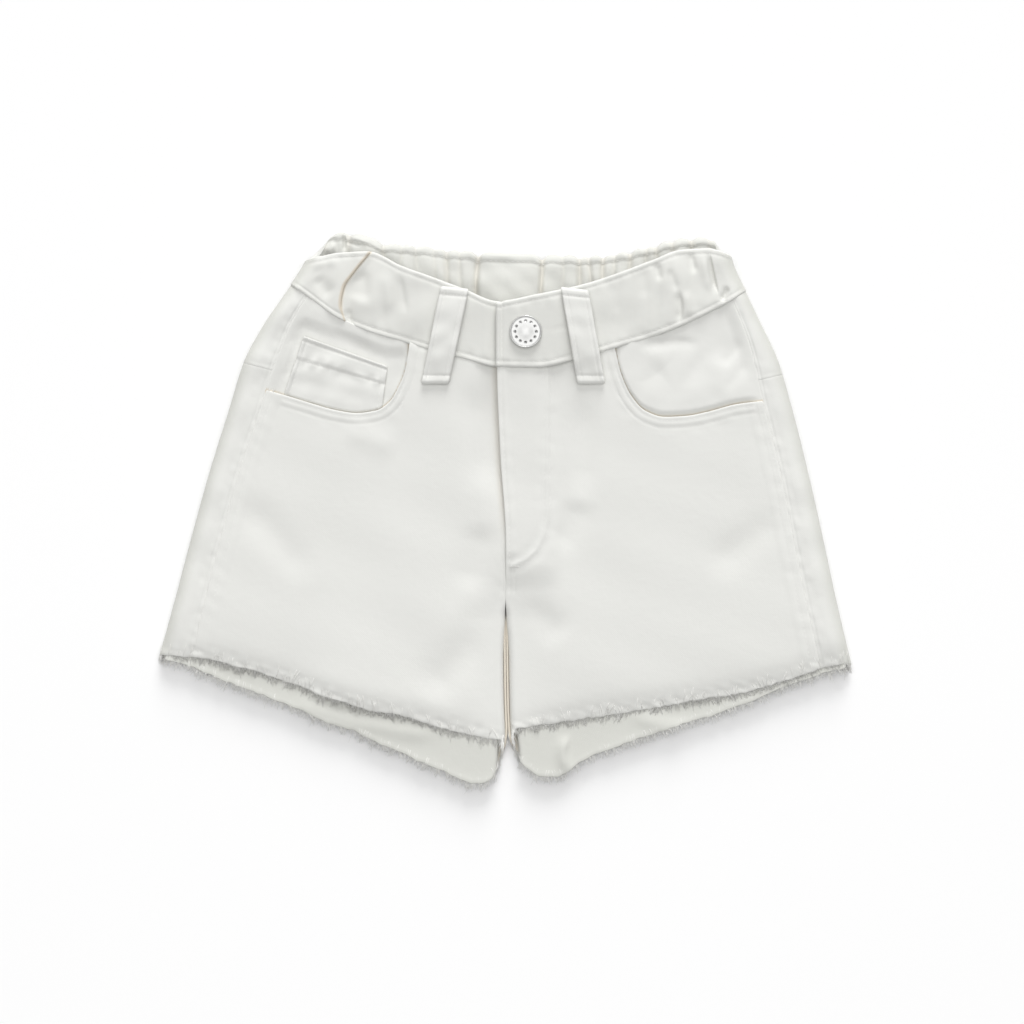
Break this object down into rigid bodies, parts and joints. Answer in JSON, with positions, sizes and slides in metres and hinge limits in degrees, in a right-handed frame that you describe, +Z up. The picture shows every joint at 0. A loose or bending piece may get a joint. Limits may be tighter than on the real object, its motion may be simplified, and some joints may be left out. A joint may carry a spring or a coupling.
{
  "type": "twill shorts",
  "caption": "Child's white twill shorts laid flat, front up: gathered elastic waistband, curved pockets, coin pocket, fly with shank button and frayed hems.",
  "frame": {"origin": "on the surface the shorts lie on, below the middle of their outline", "axes": "+X towards the wearer's left side, +Y towards the waist, +Z up out of the front"},
  "size_m": [0.3686, 0.2935, 0.0231],
  "materials": {
    "twill": "matt cotton twill, off-white",
    "frayed_thread": "loose cotton threads, off-white",
    "zip_tape": "woven tape, white",
    "button_metal": "nickel-plated, satin"
  },
  "bodies": {
    "root": {"front_panel_right": "twill", "front_panel_left": "twill", "back_panel_right": "twill", "back_panel_left": "twill", "back_yoke_right": "twill", "back_yoke_left": "twill", "pocket_facing_right": "twill", "pocket_facing_left": "twill", "coin_pocket": "twill", "fly_shield": "twill", "waistband_elastic": "twill", "waistband_front_right": "twill", "waistband_front_left": "twill", "belt_loop_front_right": "twill", "belt_loop_front_left": "twill", "belt_loop_back_right": "twill", "belt_loop_back": "twill", "belt_loop_back_left": "twill", "frayed_hem_front_right": "frayed_thread", "frayed_hem_front_left": "frayed_thread", "frayed_hem_back_right": "frayed_thread", "frayed_hem_back_left": "frayed_thread", "zip_tape": "zip_tape", "button": "button_metal"}
  },
  "joints": []
}
